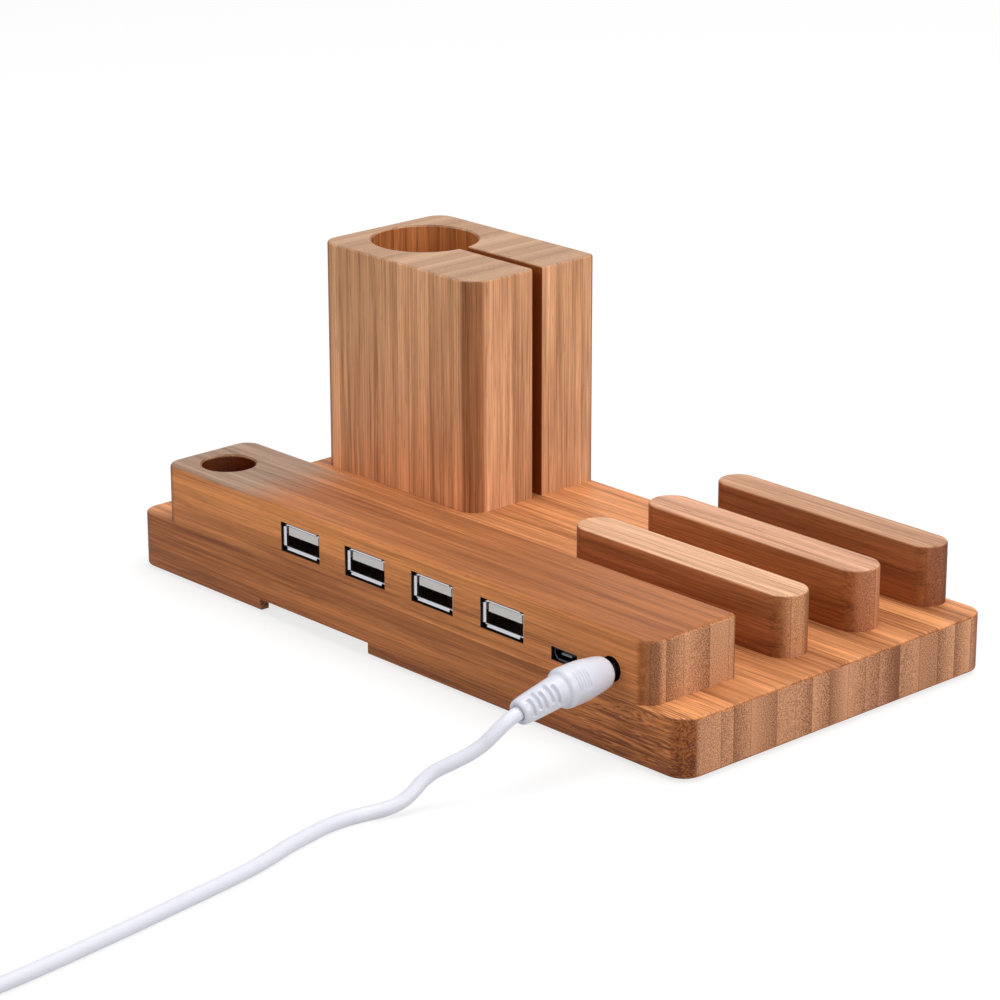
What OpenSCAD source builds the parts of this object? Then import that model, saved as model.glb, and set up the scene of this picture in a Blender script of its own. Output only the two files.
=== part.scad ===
// Charging station organizer of laminated bamboo: a board with a four-port hub housing along
// its front, three dividers for phones and tablets, a watch stand and a power lead.
// +X runs along the front from left to right, +Y to the back, +Z up, in millimetres.
// The origin is under the middle of the board, on the surface that the feet stand on.

/* [Base board] */
// Length of the base board, left to right
base_l = 195.5; // [186:0.5:230]
// Depth of the base board, front to back
base_d = 101.6; // [98:0.1:125]
// Thickness of the base board
base_t = 14.3; // [13.4:0.1:22]
// Radius of the upright corners of the base board
base_corner_r = 5.2; // [2:0.1:9]
// Radius of the eased edges of the boards
ease_r = 0.7; // [0.3:0.05:1.1]

/* [Cable recess under the base] */
// Left end of the recess, from the left end of the base board
recess_x = 40.8; // [40:0.1:46]
// Length of the recess
recess_l = 65; // [44:0.5:70]
// Depth of the recess
recess_h = 8; // [5:0.1:8.6]
// Thickness of the walls left in front of and behind the recess
recess_wall = 2.8; // [2:0.1:6]
// Corner radius of the recess
recess_corner_r = 5; // [2:0.1:9]
// Left end of the cable notches, from the left end of the base board
notch_x = 48.8; // [47:0.1:52]
// Width of the cable notches
notch_w = 41; // [12:0.5:45]
// Height of the cable notches
notch_h = 3; // [2:0.1:4.5]

/* [Hub housing] */
// Distance from each end of the base board to the housing
bar_inset = 11; // [8:0.1:14]
// Depth of the housing, front to back
bar_d = 27.9; // [26.5:0.1:30]
// Height of the housing
bar_h = 15.2; // [14.6:0.1:22]
// Radius of the upright corners of the housing
bar_corner_r = 4.5; // [1.5:0.1:5.5]
// Radius of the corner between the housing's right end and back
bar_back_corner_r = 1.5; // [1.2:0.1:4]
// Radius of the eased top edges of the housing
bar_ease_r = 1; // [0.3:0.05:1.1]
// Thickness of the wood in front of and behind the electronics
bar_wall = 3; // [2.4:0.1:3.6]
// Thickness of the wood over the electronics
bar_roof = 2.7; // [2:0.1:3]
// Solid wood at the housing's left end, which holds the pen hole
bar_left_solid = 29; // [28.5:0.1:31]
// Solid wood at the housing's right end
bar_right_solid = 5.6; // [5.2:0.1:6]

/* [Pen hole] */
// Diameter of the pen hole
pen_d = 13.7; // [8:0.1:16]
// Distance of the pen hole's axis from the housing's left end and front
pen_inset = 11.8; // [11:0.1:12.6]
// Depth of the pen hole below the top of the base board
pen_sink = 8; // [2:0.1:11]

/* [Ports] */
// Distance from the housing's left end to the middle of the first port
first_port_x = 54; // [50:0.1:56]
// Distance from one port to the next
port_pitch = 24; // [22:0.1:24.3]
// Distance from the fourth port's middle to the small data port's middle
last_port_gap = 20.6; // [18:0.1:24]
// Height of the ports' middle above the base board
port_z = 7.6; // [7.3:0.05:8]
// Width of the cutout for a port
port_cut_w = 14.6; // [14.4:0.1:16]
// Height of the cutout for a port
port_cut_h = 7.5; // [7.1:0.1:8.4]
// Distance from the small data port's middle to the housing's right end
data_port_inset = 26.9; // [26.8:0.1:27.8]
// Height of the small data port's middle above the base board
data_port_z = 4.4; // [4.1:0.05:4.8]
// Width of the cutout for the small data port
data_cut_w = 8.5; // [8.4:0.1:9.2]
// Height of the cutout for the small data port
data_cut_h = 3.3; // [3.2:0.1:4.4]
// Distance from the power jack's axis to the housing's right end
jack_inset = 11.9; // [11.6:0.1:12.8]
// Height of the power jack's axis above the base board
jack_z = 6; // [5.5:0.05:6.4]
// Diameter of the hole in front of the power jack
jack_cut_d = 6; // [5.8:0.1:7.6]

/* [Dividers] */
// Length of the dividers
divider_l = 71.2; // [65:0.1:76]
// Height of the dividers
divider_h = 15.1; // [12.5:0.1:40]
// Distance from the dividers' right ends to the base board's right end
divider_inset = 10; // [6:0.1:14]
// Thickness of the front divider
front_divider_t = 11.2; // [9:0.1:13]
// Thickness of the middle divider
middle_divider_t = 11.5; // [9:0.1:13]
// Thickness of the rear divider
rear_divider_t = 10.2; // [9.5:0.1:13]
// Width of the slot between the hub housing and the front divider
phone_slot_w = 14.4; // [8:0.1:16]
// Width of the slot between the front and middle dividers
middle_slot_w = 13; // [8:0.1:15]

/* [Watch stand] */
// Length of the watch stand, left to right
stand_l = 59.4; // [52:0.1:70]
// Depth of the watch stand, front to back
stand_d = 42.6; // [40:0.1:50]
// Height of the watch stand
stand_h = 61.1; // [40:0.1:90]
// Distance from the base board's left end to the watch stand
stand_inset = 3; // [2:0.1:4]
// Radius of the watch stand's rounded upright corners
stand_corner_r = 5.2; // [2:0.1:7]
// Radius of the watch stand's corner at its right end and back
stand_back_corner_r = 1.5; // [1.2:0.1:5]
// Diameter of the pocket for a watch charger
pocket_d = 28; // [26:0.1:31]
// Depth of the pocket
pocket_h = 10; // [6:0.1:18]
// Distance of the pocket's axis from the watch stand's left end
pocket_x = 17.6; // [17:0.1:22]
// Width of the cable slit
slit_w = 3.3; // [2:0.1:5]
// Distance of the slit behind the pocket's axis
slit_offset = 0.9; // [0:0.1:3]

/* [Feet and screws] */
// Diameter of the foot pads
foot_d = 9; // [6:0.5:9.5]
// Thickness of the foot pads
foot_t = 1.5; // [1.1:0.1:2.5]
// Height by which the foot pads stand out below the board
foot_proud = 0.8; // [0.4:0.1:1]
// Distance of the foot pads' middles from the board's edges
foot_inset = 7.5; // [7:0.1:7.8]
// Diameter of the wood screws' shanks
screw_d = 3; // [2:0.1:3.2]
// Length of the wood screws under their heads
screw_l = 16; // [10:0.5:17]
// Diameter of the wood screws' heads
screw_head_d = 5.8; // [4.5:0.1:6]
// Height of the wood screws' heads
screw_head_h = 2.2; // [1.2:0.1:3]

/* [Power lead] */
// Diameter of the cord
cord_d = 3.2; // [2.6:0.1:3.2]
// Diameter of the power plug's barrel
barrel_d = 3.5; // [3:0.1:4]
// Length of the barrel that stands out of the grip
barrel_l = 10; // [9:0.1:11]
// Gap between the plug's grip and the housing when the plug is in
plug_gap = 1.5; // [1:0.1:3]
// Length of the plug's thick grip
grip_l = 14.4; // [10:0.1:18]
// Largest diameter of the plug's grip
grip_d = 9.4; // [8.6:0.1:10.5]
// Length of the strain relief behind the grip
relief_l = 11.7; // [8:0.1:14]
// Length of the wall adapter's case
adapter_l = 52; // [40:0.5:60]
// Width of the wall adapter's case
adapter_w = 38; // [32:0.5:40]
// Height of the wall adapter's case
adapter_h = 22; // [21:0.1:23]

/* [Hidden] */

$fn = 64;

// Flats in each eased edge, and round a board's upright corners
ease_steps = 5;
corner_flats = 32;

// One overrun for every cut, and the clearances
cut = 1;
screw_clearance = 0.05;
board_clearance = 0.3;
running_clearance = 0.08;
spring_clearance = 0.06;

// The slots' widths are given for a board of this depth, and spread out on a deeper one
slot_ref_d = 101.6;

// Levels and faces that the pieces share
board_z = foot_proud;
deck_z = board_z + base_t;
left_x = -base_l / 2;
right_x = base_l / 2;
front_y = -base_d / 2;
back_y = base_d / 2;

// The recess under the base
recess_x0 = left_x + recess_x;
notch_x0 = left_x + notch_x;

// The hub housing
bar_x0 = left_x + bar_inset;
bar_x1 = right_x - bar_inset;
bar_l = bar_x1 - bar_x0;
bar_y1 = front_y + bar_d;
cavity_x0 = bar_x0 + bar_left_solid;
cavity_x1 = bar_x1 - bar_right_solid;
cavity_y0 = front_y + bar_wall;
cavity_y1 = bar_y1 - bar_wall;
cavity_h = bar_h - bar_roof;
pen_x = bar_x0 + pen_inset;
pen_y = front_y + pen_inset;
rim_r = 0.4;

// The dividers, with the slots spread over the depth that the housing and they leave free
divider_x1 = right_x - divider_inset;
divider_x0 = divider_x1 - divider_l;
filled_d = bar_d + front_divider_t + middle_divider_t + rear_divider_t;
slot_spread = (base_d - filled_d) / (slot_ref_d - filled_d);
front_divider_y = bar_y1 + phone_slot_w * slot_spread;
middle_divider_y = front_divider_y + front_divider_t + middle_slot_w * slot_spread;
rear_divider_y = back_y - rear_divider_t;

// The watch stand
stand_x0 = left_x + stand_inset;
stand_y0 = back_y - stand_d;
stand_z1 = deck_z + stand_h;
pocket_cx = stand_x0 + pocket_x;
pocket_cy = stand_y0 + stand_d / 2;
slit_y0 = pocket_cy + slit_offset - slit_w / 2;

// The wood screws: heads sunk in counterbores from below
counterbore_h = recess_h;
counterbore_d = screw_head_d + board_clearance * 2;
screw_tip_h = screw_d;
screw_recess_w = screw_head_d / 8;
screw_recess_l = screw_head_d / 2;
screw_recess_h = screw_head_h / 2;
screw_seat_z = board_z + counterbore_h;
housing_screw_inset = bar_left_solid - pen_inset - pen_d / 2;
housing_screw_places = [
    [pen_x + pen_d / 2 + housing_screw_inset / 2, front_y + bar_d / 2],
    [bar_x1 - bar_right_solid / 2, front_y + bar_d / 2]];
divider_screw_inset = divider_l / 5;
divider_screw_places = [
    for (y = [front_divider_y + front_divider_t / 2, middle_divider_y + middle_divider_t / 2,
              rear_divider_y + rear_divider_t / 2],
         x = [divider_x0 + divider_screw_inset, divider_x1 - divider_screw_inset])
    [x, y]];
stand_screw_inset = 9;
stand_screw_x = 16;
stand_screw_pitch = 15;
stand_screw_places = [
    for (y = [stand_y0 + stand_screw_inset, back_y - stand_screw_inset],
         x = [stand_x0 + stand_screw_x, stand_x0 + stand_screw_x + stand_screw_pitch])
    [x, y]];
screw_places = concat(housing_screw_places, divider_screw_places, stand_screw_places);

// The foot pads
foot_places = [
    for (x = [left_x + foot_inset, right_x - foot_inset],
         y = [front_y + foot_inset, back_y - foot_inset])
    [x, y]];

// The ports' places along the housing: the named distances share the length between its solid ends
usb_count = 4;
solid_l = bar_left_solid + bar_right_solid;
port_row_l = first_port_x + (usb_count - 1) * port_pitch + last_port_gap + data_port_inset - solid_l;
port_spread = (bar_l - solid_l) / port_row_l;
function usb_x(i) = cavity_x0 + (first_port_x - bar_left_solid + (i - 1) * port_pitch) * port_spread;
data_x = cavity_x1 - (data_port_inset - bar_right_solid) * port_spread;
jack_x = cavity_x1 - (jack_inset - bar_right_solid) * port_spread;
middle_gap_x = (usb_x(usb_count) + port_cut_w / 2 + data_x - data_cut_w / 2) / 2;

// The circuit board of the hub
pcb_t = 1.6;
pcb_margin = 1;
shell_h = 5.8;
pcb_z1 = deck_z + port_z - shell_h / 2;
pcb_z0 = pcb_z1 - pcb_t;
pcb_x0 = cavity_x0 + pcb_margin;
pcb_x1 = cavity_x1 - board_clearance;
pcb_y0 = cavity_y0 + board_clearance;
pcb_y1 = cavity_y1 - pcb_margin;
spacer_d = 5;
board_screw_d = 2.2;
board_screw_bite = 4.5;
board_screw_head_d = 3.8;
board_screw_head_h = 1.5;
board_screw_inset = 2.8;
board_screw_places = [
    for (x = [pcb_x0 + board_screw_inset, middle_gap_x],
         y = [pcb_y0 + board_screw_inset, pcb_y1 - board_screw_inset])
    [x, y]];

// The ports: sheet metal shells with flared lips, and tongues that carry the contacts
shell_w = 13.1;
shell_l = 13.4;
shell_wall = 0.3;
flare = 0.4;
lip_setback = 0.55;
shell_y0 = front_y + lip_setback + flare;
port_block_l = 3.4;
tongue_w = 11.1;
tongue_t = 2.1;
tongue_setback = 0.2;
tongue_lift = 2.95;
contact_w = 1.5;
contact_t = 0.15;
contact_pitch = 2.3;
contact_setback = 0.8;
contact_count = 4;

// The small data port, sunk into the edge of the circuit board
data_shell_w = 7.5;
data_shell_h = 2.7;
data_shell_l = 6;
data_shell_wall = 0.3;
data_shell_chamfer = 0.9;
data_flare = 0.15;
data_tongue_w = 3.2;
data_tongue_t = 0.5;
data_block_l = 1.5;
data_shell_y0 = front_y + lip_setback + data_flare;

// The power jack, sunk into the edge of the circuit board
jack_w = 7.6;
jack_h = 8.2;
jack_l = 13;
jack_bore_l = 8.5;
jack_y0 = cavity_y0 + board_clearance;
jack_pin_d = 1.3;
jack_pin_l = 6.5;
spring_w = 2;
spring_t = 0.3;
spring_l = 6;

// The parts on the circuit board
chip_l = 10;
chip_w = 6;
chip_t = 1.6;
pin_w = 0.4;
pin_reach = 0.8;
pin_pitch = 1;
small_chip_l = 5;
small_chip_w = 3.6;
inductor_w = 6.6;
inductor_h = 3.4;
inductor_terminal_t = 0.2;
capacitor_d = 5;
capacitor_h = 5.4;
capacitor_foot_h = 0.8;
crystal_l = 10.5;
crystal_w = 4;
crystal_h = 3.4;
part_row_y = pcb_y1 - chip_w / 2 - pin_reach;
hub_chip_x = (usb_x(2) + usb_x(3)) / 2;
switch_chip_places = [(usb_x(1) + usb_x(2)) / 2, (usb_x(3) + usb_x(4)) / 2];
crystal_x = (hub_chip_x + chip_l / 2 + switch_chip_places[1] - small_chip_l / 2) / 2;

// The power plug
plug_droop = 2.5;
relief_droop = 10;
plug_x = jack_x;
plug_z = deck_z + jack_z;
grip_y = front_y - plug_gap;
grip_front_d = 7.6;
grip_nose = 1;
grip_swell_share = 0.45;
shoulder_r = 1.2;
ring_count = 5;
ring_pitch = 0.8;
ring_h = 0.25;
ring_start_share = 0.4;
waist_inset = 3.4;
waist_l = 2;
waist_h = 0.5;
relief_d0 = 7.3;
relief_d1 = 5.8;
relief_root = 1;
relief_slots = 4;
slot_w = 1;
slot_core_d = 4;
barrel_wall = 0.4;
barrel_root = 5;
insulator_bore_d = jack_pin_d + running_clearance * 2;
insulator_setback = 0.3;

// The cord's free stretches: its route's points lie along its middle
cord_r = cord_d / 2;
grip_end = [plug_x, grip_y - grip_l * cos(plug_droop), plug_z - grip_l * sin(plug_droop)];
plug_tail = grip_end - relief_l * [0, cos(relief_droop), sin(relief_droop)];
run_points = concat([plug_tail], [
    [74.8, -80.7, 17.8], [74.6, -83.2, 16.6], [73.9, -86, 14.4], [73, -87.6, 12.8],
    [71.6, -90.4, 11], [69.8, -93.6, 9.4], [68, -96.7, 7.9], [67.2, -99.7, 6.2],
    [67.2, -102.6, 4.4], [66.8, -105.7, 2.9], [65.7, -109, 2], [64.2, -112.6, 1.6],
    [63.3, -117.6, 1.6], [63.3, -123.2, 1.6], [64.3, -129.2, 1.6], [65.6, -135.5, 1.6],
    [67.5, -142.1, 1.6], [69.2, -149.1, 1.6], [70.9, -160, 1.6], [72.4, -171, 1.6],
    [73.9, -182, 1.6], [75.2, -193, 1.6], [76.4, -204, 1.6], [77.3, -215, 1.6],
    [77.6, -224, 1.6], [77.6, -230, 1.6]]);
run_sides = 8;
run_steps = 2;

// The coil: two layers, wound in along the surface and out again on top
coil_sides = 6;
coil_rings = 24;
coil_layer_turns = 4.375;
coil_climb_turns = 0.5;
coil_turn_pitch = 4.15;
coil_layer_pitch = 4.2;
coil_mean_r = 5.5 * cord_d;
coil_outer_r = coil_mean_r + coil_layer_turns * coil_turn_pitch / 2;
coil_inner_r = coil_outer_r - coil_layer_turns * coil_turn_pitch;
coil_start = run_points[len(run_points) - 1];
coil_centre = [coil_start[0] - coil_outer_r, coil_start[1] - cord_d];
coil_turns = 2 * coil_layer_turns + coil_climb_turns;

// The cord's tail, from the coil's end to the wall adapter
tail_y = coil_centre[1] - coil_outer_r;
tail_points = [
    [coil_centre[0] - cord_d, tail_y, coil_start[2] + coil_layer_pitch],
    [44, tail_y, 6.2], [39, tail_y, 7.6], [34, tail_y, 9.4], [29, tail_y, 10.7], [25, tail_y, 11],
    [22, tail_y, 11]];

// The wall adapter
adapter_x1 = 8;
adapter_y = tail_y;
adapter_wall = 2;
adapter_corner_r = 5;
adapter_face_t = 3;
adapter_relief_d0 = 7;
adapter_relief_d1 = 4.6;
adapter_relief_l = 14;
adapter_flange_d = 9;
adapter_flange_t = 1.2;
blade_w = 6.35;
blade_t = 1.5;
blade_l = 17;
blade_pitch = 12.7;
blade_hole_d = 3;
blade_hole_inset = 4;
adapter_board_t = 1.6;
adapter_board_margin = 1;
adapter_board_z = 6;
transformer_l = 15;
transformer_w = 16;
transformer_h = 11;

// Places a child at each of a list of places in the plane
module at_places(places, z) {
    for (p = places) translate([p[0], p[1], z]) children();
}

// Points of an arc round c from angle a0 to a1, a single point where its radius is 0
function arc(c, r, a0, a1) = r == 0 ? [c]
    : [for (k = [0:ease_steps]) c + r * [cos(a0 + (a1 - a0) * k / ease_steps),
                                         sin(a0 + (a1 - a0) * k / ease_steps)]];

// Round puck with eased edges, which stands in a corner of a board
module corner_puck(r, h, top_r, bottom_r) {
    rotate_extrude($fn = corner_flats)
        polygon(concat([[0, 0]], arc([r - bottom_r, bottom_r], bottom_r, -90, 0),
                       arc([r - top_r, h - top_r], top_r, 0, 90), [[0, h]]));
}

// Board with its corner at the origin, upright corners in the order front left, front right,
// back right and back left, and eased top and bottom edges
module eased_board(l, d, h, corners, top_r, bottom_r) {
    hull() for (k = [0:3])
        translate([k == 1 || k == 2 ? l - corners[k] : corners[k], k > 1 ? d - corners[k] : corners[k], 0])
            corner_puck(corners[k], h, top_r, bottom_r);
}

// Block with its corner at the origin and rounded upright edges
module rounded_block(l, d, h, r) {
    translate([r, 0, 0]) cube([l - 2 * r, d, h]);
    translate([0, r, 0]) cube([l, d - 2 * r, h]);
    for (x = [r, l - r], y = [r, d - r]) translate([x, y, 0]) cylinder(h, r, r);
}

// Box whose long edges along Y are chamfered below, for the small data port
module chamfered_box(w, l, h, c) {
    translate([0, l, 0]) rotate([90, 0, 0]) linear_extrude(l)
        polygon([[-w / 2 + c, 0], [w / 2 - c, 0], [w / 2, c], [w / 2, h], [-w / 2, h], [-w / 2, c]]);
}

// The board's front top edge stays square under the housing, whose front is flush with it
module base_board() {
    color("burlywood") difference() {
        union() {
            translate([left_x, front_y, board_z])
                eased_board(base_l, base_d, base_t, [for (i = [1:4]) base_corner_r], ease_r, ease_r);
            translate([bar_x0 + bar_corner_r, front_y, deck_z - base_t / 2])
                cube([bar_l - 2 * bar_corner_r, bar_wall, base_t / 2]);
        }
        translate([recess_x0, front_y + recess_wall, board_z - cut])
            rounded_block(recess_l, base_d - 2 * recess_wall, recess_h + cut, recess_corner_r);
        for (y = [front_y - cut, back_y - recess_wall - cut])
            translate([notch_x0, y, board_z - cut]) cube([notch_w, recess_wall + 2 * cut, notch_h + cut]);
        translate([pen_x, pen_y, deck_z - pen_sink]) cylinder(pen_sink + cut, pen_d / 2, pen_d / 2);
        at_places(screw_places, board_z - cut) {
            cylinder(counterbore_h + cut, counterbore_d / 2, counterbore_d / 2);
            cylinder(base_t + 2 * cut, screw_d / 2 + board_clearance, screw_d / 2 + board_clearance);
        }
        at_places(board_screw_places, deck_z - board_screw_bite)
            cylinder(board_screw_bite + cut, board_screw_d / 2 + screw_clearance,
                     board_screw_d / 2 + screw_clearance);
        at_places(foot_places, board_z - cut)
            cylinder(foot_t - foot_proud + cut, foot_d / 2 + screw_clearance, foot_d / 2 + screw_clearance);
    }
}

// Pilot holes for the wood screws, open at the underside of the piece that they hold
module pilot_holes(places) {
    bite = screw_l - base_t + counterbore_h;
    at_places(places, deck_z - cut)
        cylinder(bite + cut, screw_d / 2 + screw_clearance, screw_d / 2 + screw_clearance);
}

module hub_housing() {
    color("burlywood") difference() {
        translate([bar_x0, front_y, deck_z])
            eased_board(bar_l, bar_d, bar_h,
                        [bar_corner_r, bar_corner_r, bar_back_corner_r, bar_corner_r], bar_ease_r, 0);
        translate([cavity_x0, cavity_y0, deck_z - cut])
            cube([cavity_x1 - cavity_x0, cavity_y1 - cavity_y0, cavity_h + cut]);
        for (i = [1:usb_count])
            translate([usb_x(i) - port_cut_w / 2, front_y - cut, deck_z + port_z - port_cut_h / 2])
                cube([port_cut_w, bar_wall + 2 * cut, port_cut_h]);
        translate([data_x - data_cut_w / 2, front_y - cut, deck_z + data_port_z - data_cut_h / 2])
            cube([data_cut_w, bar_wall + 2 * cut, data_cut_h]);
        translate([jack_x, front_y - cut, deck_z + jack_z]) rotate([-90, 0, 0])
            cylinder(bar_wall + 2 * cut, jack_cut_d / 2, jack_cut_d / 2);
        translate([pen_x, pen_y, deck_z - cut]) cylinder(bar_h + 2 * cut, pen_d / 2, pen_d / 2);
        translate([pen_x, pen_y, deck_z + bar_h - rim_r])
            cylinder(rim_r + cut, pen_d / 2, pen_d / 2 + rim_r + cut);
        pilot_holes(housing_screw_places);
    }
}

module divider(y, t) {
    color("burlywood") difference() {
        translate([divider_x0, y, deck_z])
            eased_board(divider_l, t, divider_h, [for (i = [1:4]) t / 2], ease_r, 0);
        pilot_holes([for (p = divider_screw_places) if (p[1] > y && p[1] < y + t) p]);
    }
}
module divider_front() { divider(front_divider_y, front_divider_t); }
module divider_middle() { divider(middle_divider_y, middle_divider_t); }
module divider_rear() { divider(rear_divider_y, rear_divider_t); }

module watch_stand() {
    color("tan") difference() {
        translate([stand_x0, stand_y0, deck_z])
            eased_board(stand_l, stand_d, stand_h,
                        [stand_corner_r, stand_corner_r, stand_back_corner_r, stand_corner_r], ease_r, 0);
        translate([pocket_cx, pocket_cy, stand_z1 - pocket_h])
            cylinder(pocket_h + cut, pocket_d / 2, pocket_d / 2);
        translate([pocket_cx, pocket_cy, stand_z1 - rim_r])
            cylinder(rim_r + cut, pocket_d / 2, pocket_d / 2 + rim_r + cut);
        translate([pocket_cx, slit_y0, deck_z - cut]) cube([stand_l, slit_w, stand_h + 2 * cut]);
        pilot_holes(stand_screw_places);
    }
}

module foot_pads() {
    color("dimgray") at_places(foot_places, 0) cylinder(foot_t, foot_d / 2, foot_d / 2);
}

// Wood screw with its head down, its seat at the origin and a crossed recess in the head
module wood_screw() {
    difference() {
        translate([0, 0, -screw_head_h]) cylinder(screw_head_h, screw_head_d / 2, screw_head_d / 2);
        for (a = [0, 90]) rotate([0, 0, a])
            translate([-screw_recess_l / 2, -screw_recess_w / 2, -screw_head_h - cut])
                cube([screw_recess_l, screw_recess_w, screw_recess_h + cut]);
    }
    cylinder(screw_l - screw_tip_h, screw_d / 2, screw_d / 2);
    translate([0, 0, screw_l - screw_tip_h]) cylinder(screw_tip_h, screw_d / 2, screw_d / 8);
}
module housing_screws() { color("silver") at_places(housing_screw_places, screw_seat_z) wood_screw(); }
module divider_screws() { color("silver") at_places(divider_screw_places, screw_seat_z) wood_screw(); }
module stand_screws() { color("silver") at_places(stand_screw_places, screw_seat_z) wood_screw(); }

module hub_board() {
    color("darkgreen") difference() {
        translate([pcb_x0, pcb_y0, pcb_z0]) cube([pcb_x1 - pcb_x0, pcb_y1 - pcb_y0, pcb_t]);
        translate([jack_x - jack_w / 2 - board_clearance, pcb_y0 - cut, pcb_z0 - cut])
            cube([jack_w + 2 * board_clearance, jack_l + cut, pcb_t + 2 * cut]);
        translate([data_x - data_shell_w / 2 - board_clearance, pcb_y0 - cut, pcb_z0 - cut])
            cube([data_shell_w + 2 * board_clearance,
                  data_shell_y0 + data_shell_l + cut - pcb_y0, pcb_t + 2 * cut]);
        at_places(board_screw_places, pcb_z0 - cut)
            cylinder(pcb_t + 2 * cut, board_screw_d / 2 + screw_clearance,
                     board_screw_d / 2 + screw_clearance);
    }
}

module board_spacers() {
    color("whitesmoke") at_places(board_screw_places, deck_z) difference() {
        cylinder(pcb_z0 - deck_z, spacer_d / 2, spacer_d / 2);
        translate([0, 0, -cut])
            cylinder(pcb_z0 - deck_z + 2 * cut, board_screw_d / 2 + screw_clearance,
                     board_screw_d / 2 + screw_clearance);
    }
}

module board_screws() {
    color("silver") at_places(board_screw_places, pcb_z1) difference() {
        union() {
            cylinder(board_screw_head_h, board_screw_head_d / 2, board_screw_head_d / 2);
            translate([0, 0, -(pcb_z1 - deck_z) - board_screw_bite])
                cylinder(pcb_z1 - deck_z + board_screw_bite, board_screw_d / 2, board_screw_d / 2);
        }
        for (a = [0, 90]) rotate([0, 0, a])
            translate([-board_screw_head_d / 4, -board_screw_head_d / 16, board_screw_head_h / 2])
                cube([board_screw_head_d / 2, board_screw_head_d / 8, board_screw_head_h]);
    }
}

// One flared lip: it starts at the shell's rim, along +X, and leans out towards -Y and up
module port_lip(l, out) {
    translate([-l / 2, 0, 0]) rotate([90, 0, 90]) linear_extrude(l)
        polygon([[0, 0], [0, shell_wall], [-out, shell_wall + out], [-out, out]]);
}

// Tube of sheet metal along +Y with its rim at the origin, and four flared lips round the rim
module port_shell(w, h, l, out) {
    lip_share = 0.84;
    difference() {
        translate([-w / 2, 0, -h / 2]) cube([w, l, h]);
        translate([-w / 2 + shell_wall, -cut, -h / 2 + shell_wall])
            cube([w - 2 * shell_wall, l + 2 * cut, h - 2 * shell_wall]);
    }
    for (s = [0, 180]) rotate([0, s, 0]) {
        translate([0, 0, h / 2 - shell_wall]) port_lip(w * lip_share, out);
        rotate([0, 90, 0]) translate([0, 0, w / 2 - shell_wall]) port_lip(h * lip_share, out);
    }
}

module usb_shell(i) {
    color("silver") translate([usb_x(i), shell_y0, deck_z + port_z])
        port_shell(shell_w, shell_h, shell_l, flare);
}

// Moulded block at the back of the shell and the tongue that it carries
module usb_tongue(i) {
    inner_w = shell_w - 2 * shell_wall;
    inner_h = shell_h - 2 * shell_wall;
    color("whitesmoke") translate([usb_x(i), shell_y0, deck_z + port_z - inner_h / 2]) difference() {
        union() {
            translate([-inner_w / 2, shell_l - port_block_l, 0]) cube([inner_w, port_block_l, inner_h]);
            translate([-tongue_w / 2, tongue_setback, tongue_lift])
                cube([tongue_w, shell_l - port_block_l - tongue_setback + cut, tongue_t]);
        }
        contact_strips(cut);
    }
}

// Four contact strips on the tongue, sunk in its lower face, that reach back to the block
module contact_strips(over) {
    for (k = [1:contact_count])
        translate([(k - (contact_count + 1) / 2) * contact_pitch - contact_w / 2,
                   tongue_setback + contact_setback, tongue_lift - over])
            cube([contact_w, shell_l - port_block_l - tongue_setback - contact_setback,
                  contact_t + over]);
}

module usb_contacts(i) {
    inner_h = shell_h - 2 * shell_wall;
    color("gold") translate([usb_x(i), shell_y0, deck_z + port_z - inner_h / 2]) contact_strips(0);
}

module data_port_shell() {
    color("silver") translate([data_x, data_shell_y0, deck_z + data_port_z - data_shell_h / 2]) {
        difference() {
            chamfered_box(data_shell_w, data_shell_l, data_shell_h, data_shell_chamfer);
            translate([0, -cut, data_shell_wall])
                chamfered_box(data_shell_w - 2 * data_shell_wall, data_shell_l + 2 * cut,
                              data_shell_h - 2 * data_shell_wall, data_shell_chamfer);
        }
        translate([0, 0, data_shell_h - data_shell_wall])
            port_lip(data_shell_w - 2 * data_shell_chamfer, data_flare);
        translate([0, 0, data_shell_wall]) rotate([0, 180, 0])
            port_lip(data_shell_w - 3 * data_shell_chamfer, data_flare);
    }
}

module data_port_tongue() {
    inner_h = data_shell_h - 2 * data_shell_wall;
    color("dimgray") translate([data_x, data_shell_y0,
                                deck_z + data_port_z - data_shell_h / 2 + data_shell_wall]) {
        translate([0, data_shell_l - data_block_l, 0])
            chamfered_box(data_shell_w - 2 * data_shell_wall, data_block_l, inner_h, data_shell_chamfer);
        translate([-data_tongue_w / 2, tongue_setback, inner_h / 2])
            cube([data_tongue_w, data_shell_l - data_block_l - tongue_setback, data_tongue_t]);
    }
}

module jack_body() {
    color("black") translate([jack_x, jack_y0, deck_z + jack_z]) difference() {
        translate([-jack_w / 2, 0, -jack_h / 2]) cube([jack_w, jack_l, jack_h]);
        translate([0, -cut, 0]) rotate([-90, 0, 0])
            cylinder(jack_bore_l + cut, barrel_d / 2 + running_clearance, barrel_d / 2 + running_clearance);
        rotate([-90, 0, 0])
            cylinder(jack_l + cut, jack_pin_d / 2, jack_pin_d / 2);
        translate([-spring_w / 2, jack_bore_l - spring_l, -jack_h / 2 - cut])
            cube([spring_w, spring_l, jack_h / 2 + cut]);
    }
}

module jack_pin() {
    color("silver") translate([jack_x, jack_y0 + jack_bore_l - jack_pin_l, deck_z + jack_z])
        rotate([-90, 0, 0])
            cylinder(jack_pin_l + jack_l - jack_bore_l, jack_pin_d / 2, jack_pin_d / 2);
}

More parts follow.
